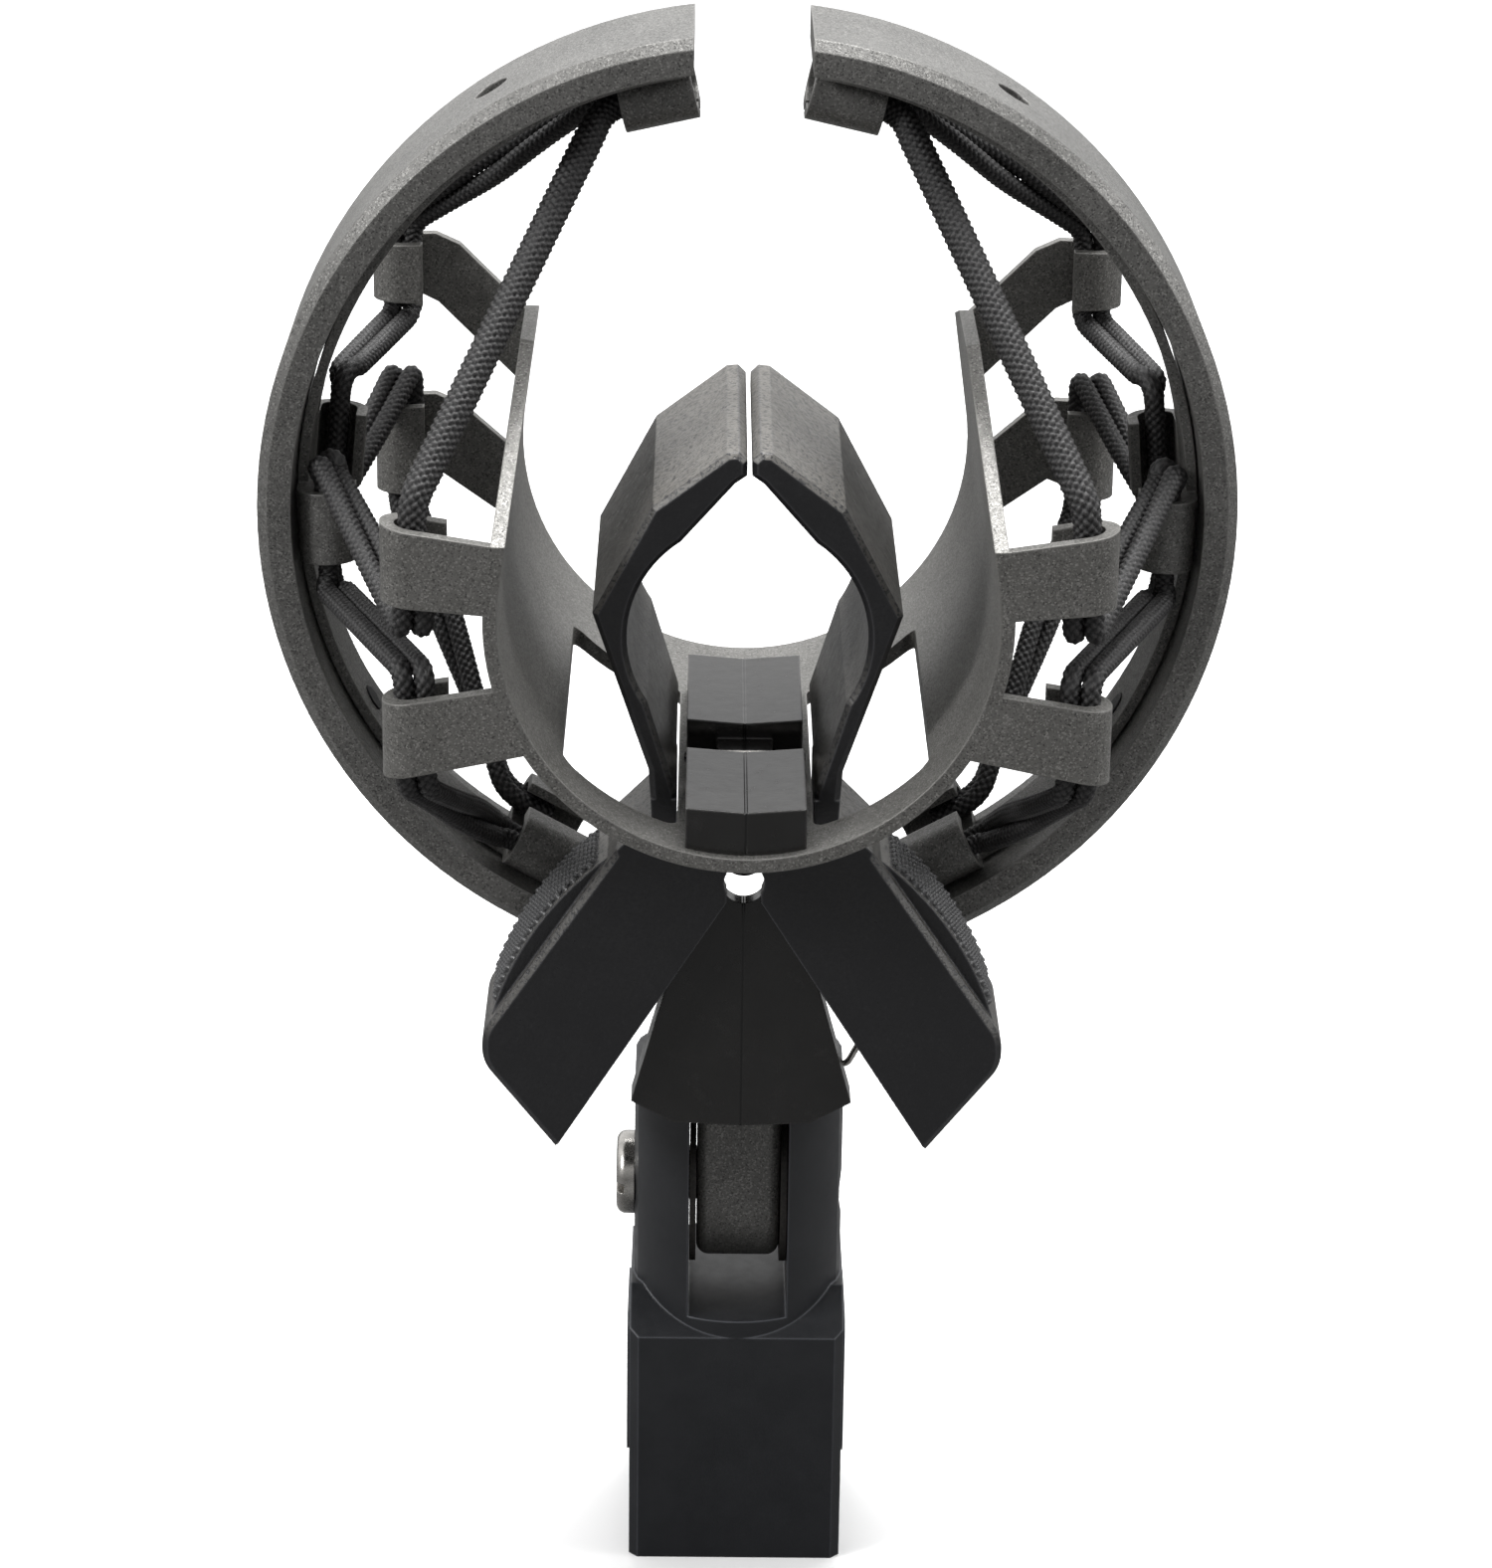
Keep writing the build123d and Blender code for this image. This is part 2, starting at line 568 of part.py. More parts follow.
# ---- stand socket: fork for the tongue above a square block with the thread insert ---------------
with BuildPart() as stand_socket:
    # round stem, flattened left and right, with rounded ears
    with BuildSketch(Plane.XY.offset(-90)):
        with Locations((0, BOLT_Y)):
            Circle(FORK_RADIUS)
        with Locations((0, BOLT_Y)):
            Rectangle(FORK_WIDTH, 2 * FORK_RADIUS, mode=Mode.INTERSECT)
    extrude(amount=90 + EAR_TOP)
    with BuildSketch(Plane.YZ) as ear_view:
        with Locations((BOLT_Y, (EAR_TOP + BASE_BOTTOM) / 2)):
            Rectangle(2 * FORK_RADIUS, EAR_TOP - BASE_BOTTOM)
        fillet(ear_view.vertices().group_by(Axis.Y)[-1], radius=EAR_ROUND)
    extrude(amount=20, both=True, mode=Mode.INTERSECT)
    # block, with sloping shoulders front and back
    with BuildSketch(Plane.YZ):
        front = BOLT_Y - FORK_RADIUS
        back = BOLT_Y + FORK_RADIUS
        with BuildLine():
            Polyline(
                (front, BASE_BOTTOM), (front, SHOULDER - 3.3), (front + 4.6, SHOULDER),
                (back - 4.6, SHOULDER), (back, SHOULDER - 3.3), (back, BASE_BOTTOM), close=True,
            )
        make_face()
    extrude(amount=BASE_WIDTH / 2, both=True)
    corners = stand_socket.edges().filter_by(Axis.Z).filter_by(lambda e: e.length > 20)
    chamfer(corners, length=0.8)
    # low pads on the block's sides
    with BuildSketch(Plane.YZ):
        with Locations((BOLT_Y, -86.0)):
            RectangleRounded(12.0, 14.5, 2.0)
    extrude(amount=BASE_WIDTH / 2 + 0.3, both=True)
    # slot, bolt hole, counterbores and the socket for the insert
    with BuildSketch(front_plane(front - 1)):
        with Locations((0, (SLOT_FLOOR - 50) / 2)):
            Rectangle(SLOT_WIDTH, -50 - SLOT_FLOOR)
    extrude(amount=-2 * FORK_RADIUS - 2, mode=Mode.SUBTRACT)
    with BuildSketch(Plane(origin=(-20, BOLT_Y, BOLT_Z), z_dir=(1, 0, 0))):
        Circle(BOLT_RADIUS + RUNNING_GAP)
    extrude(amount=40, mode=Mode.SUBTRACT)
    with BuildSketch(Plane(origin=(FORK_WIDTH / 2, BOLT_Y, BOLT_Z), x_dir=(0, 1, 0), z_dir=(1, 0, 0))):
        RegularPolygon(4.7, 6)
    extrude(amount=-2.6, mode=Mode.SUBTRACT)
    with BuildSketch(Plane.XY.offset(BASE_BOTTOM)):
        with Locations((0, BOLT_Y)):
            Circle(INSERT_RADIUS)
    extrude(amount=INSERT_LENGTH, mode=Mode.SUBTRACT)

with BuildPart() as thread_insert:
    with BuildSketch(Plane.XY.offset(BASE_BOTTOM)):
        with Locations((0, BOLT_Y)):
            Circle(INSERT_RADIUS)
            Circle(THREAD_RADIUS, mode=Mode.SUBTRACT)
    extrude(amount=INSERT_LENGTH)

# ---- friction washers between the tongue and the fork's ears -------------------------------------
with BuildPart() as right_friction_washer:
    with BuildSketch(Plane(origin=(TONGUE_WIDTH / 2 + 0.04, BOLT_Y, BOLT_Z), z_dir=(1, 0, 0))):
        Circle(TONGUE_RADIUS + 0.6)
        Circle(BOLT_RADIUS + RUNNING_GAP, mode=Mode.SUBTRACT)
    extrude(amount=WASHER)

left_friction_washer = mirror(right_friction_washer.part, about=Plane.YZ)

# ---- tilt bolt and its nut -----------------------------------------------------------------------
with BuildPart() as tilt_bolt:
    with BuildSketch(Plane(origin=(-FORK_WIDTH / 2 - 0.5, BOLT_Y, BOLT_Z), z_dir=(1, 0, 0))):
        Circle(BOLT_RADIUS)
    extrude(amount=FORK_WIDTH + 0.2)
    with BuildSketch(Plane(origin=(-FORK_WIDTH / 2 - 0.02, BOLT_Y, BOLT_Z), z_dir=(-1, 0, 0))):
        Circle(3.9)
    extrude(amount=1.7)
    head_rim = tilt_bolt.edges().group_by(Axis.X)[0]
    fillet(head_rim, radius=0.9)
    with BuildSketch(Plane(origin=(-FORK_WIDTH / 2 - 1.72, BOLT_Y, BOLT_Z), z_dir=(-1, 0, 0))):
        Rectangle(0.9, 9)
    extrude(amount=-0.8, mode=Mode.SUBTRACT)

with BuildPart() as tilt_nut:
    with BuildSketch(Plane(origin=(FORK_WIDTH / 2 - 2.5, BOLT_Y, BOLT_Z), x_dir=(0, 1, 0), z_dir=(1, 0, 0))):
        RegularPolygon(4.6, 6)
        Circle(BOLT_RADIUS, mode=Mode.SUBTRACT)
    extrude(amount=2.3)


# ---- elastic cords, each strung from ring hook to cradle hook and back ---------------------------
def hook_pass(angle, depth, clear=1.5):
    """Cord points below and above a ring hook, each a clear distance from its edge."""
    radius = LINER_RADIUS - HOOK_OFFSET - HOOK_DEPTH / 2
    step = HOOK_LENGTH / 2 + clear
    middle = Vector(*ring_point(angle, radius, depth))
    along = Vector(-sin(radians(angle)), 0, cos(radians(angle)))
    return tuple(middle - along * step), tuple(middle + along * step)


def cord(points):
    """Round cord through a list of points, with round corners."""
    with BuildPart() as piece:
        for here, after in zip(points, points[1:]):
            add(bar(here, after, CORD_RADIUS))
        for point in points[1:-1]:
            with Locations(point):
                Sphere(CORD_RADIUS)
    return piece.part


front_hook_y = LINER_FRONT - HOOK_REACH + LINER_SHEET / 2 + 0.2 + CORD_RADIUS
back_hook_y = RING_WIDTH - front_hook_y
END_CLEAR = -0.6             # a cord's end stops this far inside its last hook
front_cradle_x = 29.8 - SHEET / 2 - 0.25 - CORD_RADIUS
front_cradle_y = front_sheet + 2.2
back_cradle_x = 33.6 - SHEET / 2 - 0.25 - CORD_RADIUS
back_cradle_y = back_sheet - 2.2
top_front = hook_pass(TOP_HOOK_ANGLE, front_hook_y + TOP_HOOK_SETBACK)
top_front_end = hook_pass(TOP_HOOK_ANGLE, front_hook_y + TOP_HOOK_SETBACK, END_CLEAR)
top_back = hook_pass(TOP_HOOK_ANGLE, back_hook_y)
top_back_end = hook_pass(TOP_HOOK_ANGLE, back_hook_y, END_CLEAR)
middle_front = hook_pass(FRONT_MIDDLE_ANGLE, front_hook_y, clear=2.6)
middle_back = hook_pass(REAR_MIDDLE_ANGLE, back_hook_y, clear=3.0)
bottom_front = hook_pass(BOTTOM_HOOK_ANGLE, front_hook_y)
bottom_front_end = hook_pass(BOTTOM_HOOK_ANGLE, front_hook_y, END_CLEAR)
bottom_back = hook_pass(BOTTOM_HOOK_ANGLE, back_hook_y)
bottom_back_end = hook_pass(BOTTOM_HOOK_ANGLE, back_hook_y, END_CLEAR)

right_front_cord = cord([
    top_front_end[1], top_front[0],
    (front_cradle_x, front_cradle_y, 7.7), (front_cradle_x, front_cradle_y, -3.7),
    middle_front[1], middle_front[0],
    (front_cradle_x, front_cradle_y, -6.9), (front_cradle_x, front_cradle_y, -17.2),
    bottom_front[1], bottom_front_end[0],
])
right_rear_cord = cord([
    top_back_end[1], top_back[0],
    (back_cradle_x, back_cradle_y, 19.3), (back_cradle_x, back_cradle_y, 10.8),
    middle_back[1], middle_back[0],
    (back_cradle_x, back_cradle_y, 5.6), (back_cradle_x, back_cradle_y, -7.4),
    bottom_back[1], bottom_back_end[0],
])

# ---- files ---------------------------------------------------------------------------------------
save(outer_ring.part, "outer_ring")
save(right_hook_liner.part, "right_hook_liner")
save(left_hook_liner, "left_hook_liner")
save(liner_screws.part, "liner_screws")
save(swivel_tongue.part, "swivel_tongue")
save(tongue_screws.part, "tongue_screws")
save(cradle_frame.part, "cradle_frame")
save(clip_body.part, "clip_body")
save(retaining_pin.part, "retaining_pin")
save(clip_pivot_pin.part, "clip_pivot_pin")
save(clip_spring.part, "clip_spring")
save(right_clip_half.part, "right_clip_half")
save(left_clip_half.part, "left_clip_half")
save(stand_socket.part, "stand_socket")
save(thread_insert.part, "thread_insert")
save(right_friction_washer.part, "right_friction_washer")
save(left_friction_washer, "left_friction_washer")
save(tilt_bolt.part, "tilt_bolt")
save(tilt_nut.part, "tilt_nut")
save(right_front_cord, "right_front_cord")
save(mirror(right_front_cord, about=Plane.YZ), "left_front_cord")
save(right_rear_cord, "right_rear_cord")
save(mirror(right_rear_cord, about=Plane.YZ), "left_rear_cord")
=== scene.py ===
"""Looks for the elastic shock mount: materials, braided cords, knurled grips, spring wire and thread."""
from math import atan2, cos, floor, hypot, pi, radians, sin

import bpy
from mathutils import Matrix, Vector


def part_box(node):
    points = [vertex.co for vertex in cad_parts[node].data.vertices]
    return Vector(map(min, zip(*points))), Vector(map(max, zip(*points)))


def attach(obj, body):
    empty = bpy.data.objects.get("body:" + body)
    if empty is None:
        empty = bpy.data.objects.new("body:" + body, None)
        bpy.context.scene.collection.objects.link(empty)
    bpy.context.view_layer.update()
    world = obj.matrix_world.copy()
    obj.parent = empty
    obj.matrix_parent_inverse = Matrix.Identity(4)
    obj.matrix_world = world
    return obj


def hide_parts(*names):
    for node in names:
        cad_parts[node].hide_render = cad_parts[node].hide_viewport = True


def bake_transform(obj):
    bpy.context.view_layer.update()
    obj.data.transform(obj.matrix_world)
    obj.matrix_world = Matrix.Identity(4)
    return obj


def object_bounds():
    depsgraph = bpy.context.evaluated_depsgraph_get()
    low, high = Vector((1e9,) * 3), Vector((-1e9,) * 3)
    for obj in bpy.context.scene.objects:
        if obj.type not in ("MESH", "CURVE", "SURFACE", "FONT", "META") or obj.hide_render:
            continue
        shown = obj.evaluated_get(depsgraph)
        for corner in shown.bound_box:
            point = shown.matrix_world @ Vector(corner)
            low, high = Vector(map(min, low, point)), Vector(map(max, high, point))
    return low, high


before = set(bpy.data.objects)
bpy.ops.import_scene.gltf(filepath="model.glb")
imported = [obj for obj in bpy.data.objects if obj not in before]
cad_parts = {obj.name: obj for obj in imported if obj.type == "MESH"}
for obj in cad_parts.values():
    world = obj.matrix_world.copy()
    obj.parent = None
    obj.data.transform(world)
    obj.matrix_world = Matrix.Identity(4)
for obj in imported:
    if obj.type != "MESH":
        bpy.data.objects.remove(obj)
CAD_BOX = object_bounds()

MM = 0.001
RING_LOW, RING_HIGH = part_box("outer_ring")
RING_RADIUS = (RING_HIGH.x - RING_LOW.x) / 2
RING_CENTRE = Vector((0, RING_LOW.y, RING_LOW.z + RING_RADIUS))   # on the ring's front face

# ---- sizes in millimetres, about the ring's centre -------------------------------------
CORD_RADIUS = 1.25
TWIN_RADIUS = 0.94             # each strand of a doubled cord
CORD_HOOK_RADIUS = 36.6        # where cords lie inside the ring hooks
HOOK_HALF = 3.2
TOP_ANGLE, BOTTOM_ANGLE = 77.2, -61.3
PIVOT = Vector((0, 0, -27.1))
GRIP_CREST = ((11.8, -26.5), (18.5, -33.9), (21.9, -41.45))
GRIP_Y = (-11.2, -3.0)
SPRING_WIRE, SPRING_COIL = 0.3, 1.9
POST = (11.9, -46.6)
THREAD_MINOR, THREAD_MAJOR, THREAD_PITCH = 7.45, 7.94, 25.4 / 27


def placed(point):
    """A point given in millimetres about the ring's centre, in the frame."""
    return RING_CENTRE + Vector(point) * MM


# ---- materials ---------------------------------------------------------------------------
class Shader:
    """A node material with short calls for the nodes used below."""

    def __init__(self, name):
        self.material = bpy.data.materials.new(name)
        self.material.use_nodes = True
        self.tree = self.material.node_tree
        self.surface = self.tree.nodes["Principled BSDF"]
        self.place = self.node("ShaderNodeTexCoord").outputs["Object"]

    def node(self, kind, **settings):
        made = self.tree.nodes.new(kind)
        for key, value in settings.items():
            if key in made.inputs:
                made.inputs[key].default_value = value
            else:
                setattr(made, key, value)
        return made

    def link(self, out, into):
        self.tree.links.new(out, into)

    def noise(self, size_mm, detail=4.0, rough=0.6):
        made = self.node("ShaderNodeTexNoise")
        made.inputs["Scale"].default_value = 1 / (size_mm * MM)
        made.inputs["Detail"].default_value = detail
        made.inputs["Roughness"].default_value = rough
        self.link(self.place, made.inputs["Vector"])
        return made.outputs["Fac"]

    def specks(self, size_mm):
        made = self.node("ShaderNodeTexVoronoi")
        made.inputs["Scale"].default_value = 1 / (size_mm * MM)
        self.link(self.place, made.inputs["Vector"])
        return made.outputs["Color"]

    def ramp(self, fac, stops):
        made = self.node("ShaderNodeValToRGB")
        self.link(fac, made.inputs["Fac"])
        points = made.color_ramp.elements
        while len(points) < len(stops):
            points.new(0.5)
        for point, (at, value) in zip(points, stops):
            point.position = at
            shade = value if isinstance(value, tuple) else (value, value, value)
            point.color = (*shade, 1.0)
        return made.outputs["Color"]

    def mix(self, fac, a, b, how="MIX"):
        made = self.node("ShaderNodeMix", data_type="RGBA", blend_type=how)
        self.link(fac, made.inputs["Factor"])
        for value, slot in ((a, made.inputs[6]), (b, made.inputs[7])):
            if isinstance(value, tuple):
                slot.default_value = (*value, 1.0)
            else:
                self.link(value, slot)
        return made.outputs[2]

    def bump(self, height, depth_mm, under=None):
        made = self.node("ShaderNodeBump")
        made.inputs["Distance"].default_value = depth_mm * MM
        made.inputs["Strength"].default_value = 1.0
        self.link(height, made.inputs["Height"])
        if under is not None:
            self.link(under, made.inputs["Normal"])
        return made.outputs["Normal"]

    def rounded(self, radius_mm):
        made = self.node("ShaderNodeBevel", samples=6)
        made.inputs["Radius"].default_value = radius_mm * MM
        return made.outputs["Normal"]

    def edge_highlight_mask(self, radius_mm, low=0.06, high=0.5):
        """1 along convex edges and 0 on flat faces, from how far the rounded normal leans: the mask for painted edge
        highlights.
        """
        here = self.node("ShaderNodeNewGeometry").outputs["Normal"]
        dot = self.node("ShaderNodeVectorMath", operation="DOT_PRODUCT")
        self.link(here, dot.inputs[0])
        self.link(self.rounded(radius_mm), dot.inputs[1])
        lean = self.node("ShaderNodeMath", operation="SUBTRACT")
        lean.inputs[0].default_value = 1.0
        self.link(dot.outputs["Value"], lean.inputs[1])
        return self.ramp(lean.outputs["Value"], ((low * 0.1, 0.0), (high * 0.3, 1.0)))

    def finish(self, color=None, rough=None, normal=None, **values):
        for out, name in ((color, "Base Color"), (rough, "Roughness"), (normal, "Normal")):
            if out is not None:
                self.link(out, self.surface.inputs[name])
        for name, value in values.items():
            self.surface.inputs[name.replace("_", " ").capitalize() if name == "metallic" else name].default_value = value
        return self.material


def painted_metal(name, dark, light):
    """Powder coat with fine metallic glitter: bright and dark grains over a soft mottle."""
    s = Shader(name)
    mottle = s.ramp(s.noise(6.0, 3), ((0.35, dark), (0.7, light)))
    grain = s.node("ShaderNodeSeparateColor")
    s.link(s.specks(0.13), grain.inputs[0])
    glitter = s.ramp(grain.outputs[0], ((0.72, 0.0), (1.0, 0.7)))
    pits = s.ramp(grain.outputs[1], ((0.72, 0.0), (1.0, 0.75)))
    body = s.mix(pits, mottle, tuple(c * 0.22 for c in dark))
    body = s.mix(glitter, body, tuple(min(1, c * 2.0) for c in light))
    # Painted highlight: convex edges are mixed towards a paler grey.
    body = s.mix(s.edge_highlight_mask(0.3), body, tuple(min(1, c * 1.35) for c in light))
    rough = s.ramp(grain.outputs[2], ((0.1, 0.34), (0.9, 0.52)))
    soft = s.rounded(0.22)
    normal = s.bump(s.noise(0.16, 3, 0.7), 0.03, soft)
    return s.finish(body, rough, normal, Metallic=0.45)


def grained_plastic(
    name, dark, light, grain_mm, depth_mm, rough=(0.34, 0.5), parting=False, painted_top_sheen=0.0, valleys=False,
):
    """Moulded plastic: spark-eroded grain, faint flow mottle, painted highlights along the edges and a parting line.

    The sheen argument is how much paler the grain looks on faces that look up: a painted sheen for the light from
    above."""
    s = Shader(name)
    grain = s.noise(grain_mm, 3, 0.7)
    body = s.ramp(s.noise(5.0, 3), ((0.35, dark), (0.75, light)))
    if painted_top_sheen:
        # Painted sheen: faces that look up are mixed towards a pale grey, standing in for the light from above.
        upward = s.node("ShaderNodeSeparateXYZ")
        s.link(s.node("ShaderNodeNewGeometry").outputs["Normal"], upward.inputs[0])
        facing = s.ramp(upward.outputs[2], ((0.05, 0.0), (0.85, painted_top_sheen)))
        body = s.mix(facing, body, (0.235, 0.222, 0.198))
        speck = s.ramp(grain, ((0.43, 0.95), (0.48, 0.0)))
        body = s.mix(speck, body, dark)
    fleck = s.ramp(grain, ((0.60, 0.0), (0.75, 0.4)))
    body = s.mix(fleck, body, tuple(c * 2.0 for c in light))
    # Painted highlight: convex edges are mixed towards a much paler grey.
    edge = s.edge_highlight_mask(0.3)
    body = s.mix(edge, body, tuple(c * 5.0 for c in light))
    # Painted shade: the valleys between the knurl crowns are mixed towards near black.
    if valleys:
        crown = s.node("ShaderNodeAttribute", attribute_name="crown").outputs["Fac"]
        body = s.mix(s.ramp(crown, ((0.15, 0.0), (0.9, 1.0))), (0.002, 0.002, 0.0025), body)
    finish = s.ramp(s.noise(1.1, 4), ((0.3, rough[0]), (0.7, rough[1])))
    normal = s.bump(grain, depth_mm, s.rounded(0.3))
    if parting:
        axis = s.node("ShaderNodeSeparateXYZ")
        s.link(s.place, axis.inputs[0])
        away = s.node("ShaderNodeMath", operation="ABSOLUTE")
        s.link(axis.outputs[0], away.inputs[0])
        far = s.node("ShaderNodeMath", operation="MULTIPLY")
        far.inputs[1].default_value = 1 / (0.16 * MM)
        s.link(away.outputs[0], far.inputs[0])
        line = s.ramp(far.outputs[0], ((0.35, 1.0), (1.0, 0.0)))
        body = s.mix(line, body, tuple(c * 0.25 for c in dark))
        normal = s.bump(line, -0.06, normal)
    return s.finish(body, finish, normal)


def wire_steel(name, color, rough=(0.16, 0.34)):
    """Drawn or turned steel with fine scratches and slight tarnish."""
    s = Shader(name)
    tint = s.ramp(s.noise(1.6, 4), ((0.35, tuple(c * 0.7 for c in color)), (0.65, color)))
    marks = s.ramp(s.noise(0.25, 6, 0.75), ((0.3, rough[0]), (0.7, rough[1])))
    normal = s.bump(s.noise(0.12, 5), 0.006, s.rounded(0.15))
    return s.finish(tint, marks, normal, Metallic=1.0)


def woven_cord(name):
    """Black textile yarn: fine fibre streaks, pale on the crowns of the yarns, with painted shade, near black,
    between them.
    """
    s = Shader(name)
    fibre = s.noise(0.10, 4, 0.7)
    crown = s.node("ShaderNodeAttribute", attribute_name="crown").outputs["Fac"]
    yarn = s.ramp(fibre, ((0.3, (0.012, 0.012, 0.013)), (0.58, (0.055, 0.053, 0.053)), (0.8, (0.22, 0.21, 0.2))))
    # Painted shade: the valleys between the yarns are mixed towards near black.
    body = s.mix(s.ramp(crown, ((0.25, 0.0), (0.95, 1.0))), (0.003, 0.003, 0.0035), yarn)
    normal = s.bump(fibre, 0.04)
    return s.finish(body, None, normal, Roughness=0.48)


def pressed_fibre(name):
    """Dark pressed washer board."""
    s = Shader(name)
    body = s.ramp(s.noise(0.3, 5), ((0.3, (0.02, 0.018, 0.016)), (0.7, (0.06, 0.055, 0.05))))
    return s.finish(body, None, s.bump(s.noise(0.2, 4), 0.02, s.rounded(0.1)), Roughness=0.6)


RING = painted_metal("ring_coat", (0.135, 0.133, 0.127), (0.175, 0.172, 0.165))
CRADLE = painted_metal("cradle_coat", (0.15, 0.147, 0.138), (0.19, 0.186, 0.177))
# The clip halves get a painted sheen: their faces that look up are paler.
CLIP = grained_plastic(
    "clip_grain", (0.012, 0.012, 0.0135), (0.017, 0.017, 0.0185), 0.34, 0.06, (0.27, 0.40), painted_top_sheen=0.62,
)
BODY = grained_plastic(
    "body_grain", (0.011, 0.0105, 0.010), (0.016, 0.0155, 0.015), 2.4, 0.03, (0.14, 0.28), parting=True,
)
SOCKET = grained_plastic(
    "socket_satin", (0.016, 0.017, 0.0195), (0.022, 0.023, 0.026), 0.15, 0.012, (0.30, 0.42),
)
STEEL = wire_steel("bright_steel", (0.62, 0.60, 0.57))
DARK_STEEL = wire_steel("black_screw", (0.05, 0.05, 0.052), (0.3, 0.5))
# The knurl gets painted shade, near black, in the valleys between its diamonds.
KNURL = grained_plastic(
    "knurl_grain", (0.045, 0.045, 0.047), (0.07, 0.07, 0.072), 0.2, 0.01, (0.24, 0.34), valleys=True,
)
BRASS = wire_steel("turned_brass", (0.78, 0.58, 0.28), (0.2, 0.36))
CORD = woven_cord("braid_yarn")
WASHER = pressed_fibre("washer_board")

NODE_MATERIALS = {
    "outer_ring": RING, "right_hook_liner": RING, "left_hook_liner": RING, "swivel_tongue": RING,
    "cradle_frame": CRADLE, "liner_screws": DARK_STEEL, "tongue_screws": DARK_STEEL,
    "clip_body": BODY, "right_clip_half": CLIP, "left_clip_half": CLIP, "stand_socket": SOCKET,
    "retaining_pin": STEEL, "clip_pivot_pin": STEEL, "tilt_bolt": STEEL, "tilt_nut": STEEL,
    "right_friction_washer": WASHER, "left_friction_washer": WASHER,
}
for node_name, material in NODE_MATERIALS.items():
    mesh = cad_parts[node_name].data
    mesh.materials.clear()
    mesh.materials.append(material)


# ---- mesh helpers -----------------------------------------------------------------------------
def mesh_piece(name, points, faces, material, smooth=True, side=1):
    """A new piece from points in millimetres about the ring's centre, mirrored to the left by side -1."""
    if side < 0:
        points = [(-p[0], p[1], p[2]) for p in points]
        faces = [tuple(reversed(face)) for face in faces]
    mesh = bpy.data.meshes.new(name)
    mesh.from_pydata([placed(p) for p in points], [], faces)
    mesh.materials.append(material)
    for polygon in mesh.polygons:
        polygon.use_smooth = smooth
    mesh.validate()
    piece = bpy.data.objects.new(name, mesh)
    bpy.context.scene.collection.objects.link(piece)
    return piece


def rounded_path(corners, radius, step):
    """Evenly spaced points along a polyline whose corners are rounded."""
    corners = [Vector(c) for c in corners]
    dense = [corners[0]]
    for before, here, after in zip(corners, corners[1:], corners[2:]):
        back, ahead = before - here, after - here
        cut = min(radius, back.length * 0.45, ahead.length * 0.45)
        a, b = here + back.normalized() * cut, here + ahead.normalized() * cut
        dense += [(1 - t) ** 2 * a + 2 * t * (1 - t) * here + t * t * b for t in (i / 12 for i in range(13))]
    dense.append(corners[-1])
    spaced, left = [dense[0]], step
    for a, b in zip(dense, dense[1:]):
        length = (b - a).length
        while length > 0 and left <= length:
            spaced.append(a + (b - a) * (left / length))
            left += step
        left -= length
    return spaced


def tube(path, around, radius_at):
    """Points and faces of a closed tube along a path; radius_at(distance, angle) in millimetres."""
    normal = (path[1] - path[0]).orthogonal().normalized()
    points, faces, run = [], [], 0.0
    for i, here in enumerate(path):
        ahead = (path[min(i + 1, len(path) - 1)] - path[max(i - 1, 0)]).normalized()
        normal = (normal - ahead * normal.dot(ahead)).normalized()
        side = ahead.cross(normal)
        run += (here - path[i - 1]).length if i else 0.0
        for k in range(around):
            angle = 2 * pi * k / around
            r = radius_at(run, angle)
            points.append(here + (normal * cos(angle) + side * sin(angle)) * r)
    for i in range(len(path) - 1):
        for k in range(around):
            a, b = i * around + k, i * around + (k + 1) % around
            faces.append((a, b, b + around, a + around))
    faces.append(tuple(reversed(range(around))))
    faces.append(tuple(range(len(points) - around, len(points))))
    return points, faces


# ---- elastic cords -------------------------------------------------------------------------------
def braid(distance, angle, yarns, lay):
    """Height from 0 to 1 of a braided sheath: two windings of yarns that pass over and under each other."""
    turn = angle / (2 * pi)
    along = distance / lay
    left, right = yarns * (turn + along), yarns * (turn - along)
    left_arc, right_arc = abs(sin(pi * left)) ** 0.8, abs(sin(pi * right)) ** 0.8
    left_on_top = (floor(left) + floor(right)) % 2 == 0
    return left_arc * (0.55 + 0.45 * right_arc) if left_on_top else right_arc * (0.55 + 0.45 * left_arc)


def braided_piece(name, path, side, radius):
    """A length of braided cord whose crowns and valleys are kept as an attribute for the painted shade between its
    yarns.
    """
    thick = radius > 1.1
    yarns, lay, relief = (8, 5.6, 0.34) if thick else (6, 4.4, 0.24)
    around = 64 if thick else 48
    heights = []

    length = sum((b - a).length for a, b in zip(path, path[1:]))
    swell = 0.14 if thick else 0.0

    def radius_at(distance, angle):
        heights.append(braid(distance, angle, yarns, lay))
        fuller = swell * min(1.0, max(0.0, min(distance, length - distance) / 4.0 - 0.9))
        return radius - relief + fuller + relief * heights[-1]

    piece = mesh_piece(name, *tube(path, around, radius_at), CORD, side=side)
    keep_crowns(piece, heights)
    return piece


def keep_crowns(piece, heights):
    """Store how high each point stands in a weave or knurl, from 0 to 1, for the painted shade in its valleys."""
    crown = piece.data.attributes.new("crown", "FLOAT", "POINT")
    crown.data.foreach_set("value", heights)


def ring_hook(angle, y, clear):
    """Cord points at a right-hand ring hook: below it, in its middle and above it."""
    out = Vector((cos(radians(angle)), 0, sin(radians(angle)))) * CORD_HOOK_RADIUS
    along = Vector((-sin(radians(angle)), 0, cos(radians(angle)))) * (HOOK_HALF + clear)
    depth = Vector((0, y, 0))
    return [out - along + depth, out + depth, out + along + depth]


